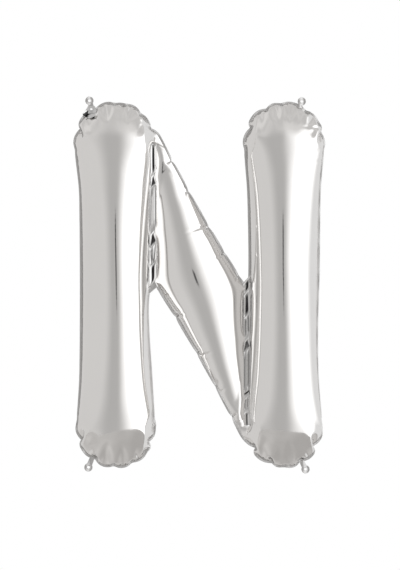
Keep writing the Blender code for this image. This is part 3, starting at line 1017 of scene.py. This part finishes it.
for name, (hole, root) in TABS.items():
    hole, root = Vector(hole), Vector(root)

    def tab_bend(x, z):
        return 0.0009 * math.sin((x - hole.x) * 330 + 0.4) + 0.0007 * math.sin((z - hole.y) * 260 + 1)

    points, faces = ringed_plate(hole, TAB_HOLE, tab_outline(hole, root), TAB_SKIN, tab_bend)
    piece_from(f"tab_{name}", points, faces, limp_film, [f"hang_tab_{name}"], "tab")

# %% [markdown]
# ## Fill neck
# Under the upper left tab the two sheets run on into a short flat neck, with a small hole where the gas goes in.
# After filling it is folded down over the shoulder and crumpled. Crumpled film is made of flat facets that
# meet in straight ridges, and a sum of a few slanted ridges, each an absolute value, gives just that.

# %% Fill neck
NECK_HOLE = (-0.2302, 0.3722)
NECK_HOLE_RADIUS = 0.0021
NECK_OUTLINE = (
    (-0.2365, 0.3805), (-0.2300, 0.3815), (-0.2245, 0.3800), (-0.2215, 0.3770), (-0.2185, 0.3680),
    (-0.2175, 0.3610), (-0.2200, 0.3545), (-0.2265, 0.3520), (-0.2330, 0.3500), (-0.2400, 0.3530),
    (-0.2475, 0.3580), (-0.2480, 0.3630), (-0.2430, 0.3690), (-0.2395, 0.3745),
)
NECK_STEPS = 16
# A triangle of the neck is painted near-black: painted shade in a closed fold.
NECK_PAINTED_SHADE = ((-0.2360, 0.3705), (-0.2490, 0.3600), (-0.2370, 0.3520))
ridges = np.random.default_rng(11)
neck_ridges = [
    (ridges.uniform((-0.249, 0.352), (-0.218, 0.378)), ridges.uniform(0, math.pi), ridges.uniform(0.18, 0.40))
    for _ in range(7)
]
foil_tree = BVHTree.FromPolygons([tuple(p) for p in front], smooth_triangles.tolist())


def crumple(x, z):
    height = 0.0
    for (at_x, at_z), turn, slope in neck_ridges:
        height += slope * abs((x - at_x) * math.cos(turn) + (z - at_z) * math.sin(turn))
    return height / len(neck_ridges) * 2.2


def neck_bend(x, z):
    """The neck rests on the shoulder of the stem, and lies in the plane of the weld where there is none."""
    met = foil_tree.ray_cast((x, -0.2, z), (0, 1, 0), 0.3)[0]
    rest = -met.y if met else 0.0
    free = min(1.0, max(0.0, (0.3790 - z) / 0.010))
    return -(max(0.0, rest) + 0.0008 + crumple(x, z) * free)


outline = np.array(NECK_OUTLINE + NECK_OUTLINE[:1])[::-1]
outline = at(outline, lengths(outline)[-1] * np.arange(96) / 96)[::-1]
points, faces = ringed_plate(NECK_HOLE, NECK_HOLE_RADIUS, [tuple(p) for p in outline], TAB_SKIN, neck_bend, NECK_STEPS)
neck = piece_from("fill_neck_film", points, faces, neck_film, ["fill_neck"], "valve_film")
# The triangle's painted shade is stored on the neck for its film to darken by.
neck_painted_shade = np.array(NECK_PAINTED_SHADE)
mark_painted_shade(neck, inside(neck_painted_shade, np.array(points)[:, [0, 2]]).astype(float))

# %% [markdown]
# ## The studio
# A mirror shows only the room, so the room is drawn as a sky. To the right of the camera stands one very large
# softbox, which makes the long white bands. The wall to the left is pale, and darker near the middle, and the
# camera itself is a small dark spot there, which each stem draws out into a thin upright line. The ceiling and
# the floor show in the round ends. What the camera sees directly is plain white.

# %% Studio
world = bpy.data.worlds.new("studio")
bpy.context.scene.world = world
world.use_nodes = True
nodes, wires = world.node_tree.nodes, world.node_tree.links
sky = nodes["Background"]
direction = nodes.new("ShaderNodeTexCoord").outputs["Generated"]
parts_of_direction = nodes.new("ShaderNodeSeparateXYZ")
wires.new(direction, parts_of_direction.inputs[0])
upward = parts_of_direction.outputs["Z"]


def math_node(kind, *inputs):
    made = nodes.new("ShaderNodeMath")
    made.operation = kind
    for slot, value in enumerate(inputs):
        if isinstance(value, (int, float)):
            made.inputs[slot].default_value = value
        else:
            wires.new(value, made.inputs[slot])
    return made.outputs[0]


def rising(source, low, high):
    """0 below low, 1 above high, and smooth between them. It falls instead where high is the smaller."""
    made = nodes.new("ShaderNodeMapRange")
    made.interpolation_type = "SMOOTHSTEP"
    made.inputs["From Min"].default_value = min(low, high)
    made.inputs["From Max"].default_value = max(low, high)
    made.inputs["To Min"].default_value = 0.0 if low < high else 1.0
    made.inputs["To Max"].default_value = 1.0 if low < high else 0.0
    wires.new(source, made.inputs["Value"])
    return made.outputs["Result"]


def blended(share, first, second):
    made = nodes.new("ShaderNodeMix")
    made.data_type = "RGBA"
    wires.new(share, made.inputs["Factor"])
    for slot, value in (("A", first), ("B", second)):
        if isinstance(value, tuple):
            made.inputs[slot].default_value = value
        else:
            wires.new(value, made.inputs[slot])
    return made.outputs["Result"]


def grey(value, warmth=0.015):
    return (value, value * (1 - warmth), value * (1 - 2 * warmth), 1)


# %% Walls
# The room has four tones, one for each of its sides.
LEFT_WALL = 0.70
RIGHT_WALL = 0.80
CAMERA_END = 0.50
SOFTBOX = 1.50

# bearing from the camera's side, positive to the right
backward = math_node("MULTIPLY", parts_of_direction.outputs["Y"], -1.0)
bearing = math_node("ARCTAN2", parts_of_direction.outputs["X"], backward)


def between(first, full_from, full_to, last):
    """1 between two bearings in degrees, fading to 0 at the outer two."""
    rise = rising(bearing, math.radians(first), math.radians(full_from))
    fall = rising(bearing, math.radians(last), math.radians(full_to))
    return math_node("MULTIPLY", rise, fall)


walls = blended(between(20, 90, 130, 175), grey(LEFT_WALL), grey(RIGHT_WALL, 0.0))
walls = blended(between(-45, -15, -5, 15), walls, grey(CAMERA_END))
walls = blended(between(0, 35, 75, 110), walls, grey(SOFTBOX, 0.0))
print("walls:", LEFT_WALL, RIGHT_WALL, CAMERA_END, "softbox:", SOFTBOX)

# %% Ceiling, floor and camera
CAMERA_BEARING = math.radians(-4.2)
clutter = nodes.new("ShaderNodeTexNoise")
clutter.inputs["Scale"].default_value = 1.7
clutter.inputs["Detail"].default_value = 1.5
wires.new(direction, clutter.inputs["Vector"])
uneven = rising(clutter.outputs["Fac"], 0.35, 0.65)
ceiling = blended(uneven, grey(0.61), grey(0.77))
ground = blended(uneven, grey(0.46, 0.02), grey(0.57, 0.02))
room = blended(rising(upward, 0.56, 0.70), walls, ceiling)
room = blended(rising(upward, -0.83, -0.92), room, ground)
aside = math_node("ABSOLUTE", math_node("SUBTRACT", bearing, CAMERA_BEARING))
spot = math_node("MULTIPLY", rising(aside, math.radians(2.6), math.radians(0.9)), rising(upward, 0.15, 0.10))
spot = math_node("MULTIPLY", spot, rising(upward, -0.06, 0.02))
room = blended(spot, room, grey(0.03))
seen = nodes.new("ShaderNodeLightPath").outputs["Is Camera Ray"]
room = blended(seen, room, (1, 1, 1, 1))
wires.new(room, sky.inputs["Color"])

# %% Floor
FLOOR_DROP = 1.25
FLOOR_RADIUS = 1.5
floor_builder = bmesh.new()
bmesh.ops.create_circle(floor_builder, cap_ends=True, segments=96, radius=FLOOR_RADIUS)
floor_mesh = bpy.data.meshes.new("floor")
floor_builder.to_mesh(floor_mesh)
floor_builder.free()
floor = bpy.data.objects.new("floor", floor_mesh)
floor.location = (0, 0, -FLOOR_DROP)
bpy.context.scene.collection.objects.link(floor)
floor_paint = bpy.data.materials.new("floor_paint")
floor_paint.use_nodes = True
mottle = floor_paint.node_tree.nodes.new("ShaderNodeTexNoise")
mottle.inputs["Scale"].default_value = 1.6
mottle.inputs["Detail"].default_value = 2.0
tones = floor_paint.node_tree.nodes.new("ShaderNodeValToRGB")
tones.color_ramp.elements[0].position, tones.color_ramp.elements[0].color = 0.36, (0.60, 0.59, 0.58, 1)
tones.color_ramp.elements[1].position, tones.color_ramp.elements[1].color = 0.64, (0.86, 0.85, 0.84, 1)
floor_paint.node_tree.links.new(mottle.outputs["Fac"], tones.inputs[0])
floor_paint.node_tree.links.new(tones.outputs[0], floor_paint.node_tree.nodes["Principled BSDF"].inputs["Base Color"])
floor_paint.node_tree.nodes["Principled BSDF"].inputs["Roughness"].default_value = 0.8
floor_mesh.materials.append(floor_paint)
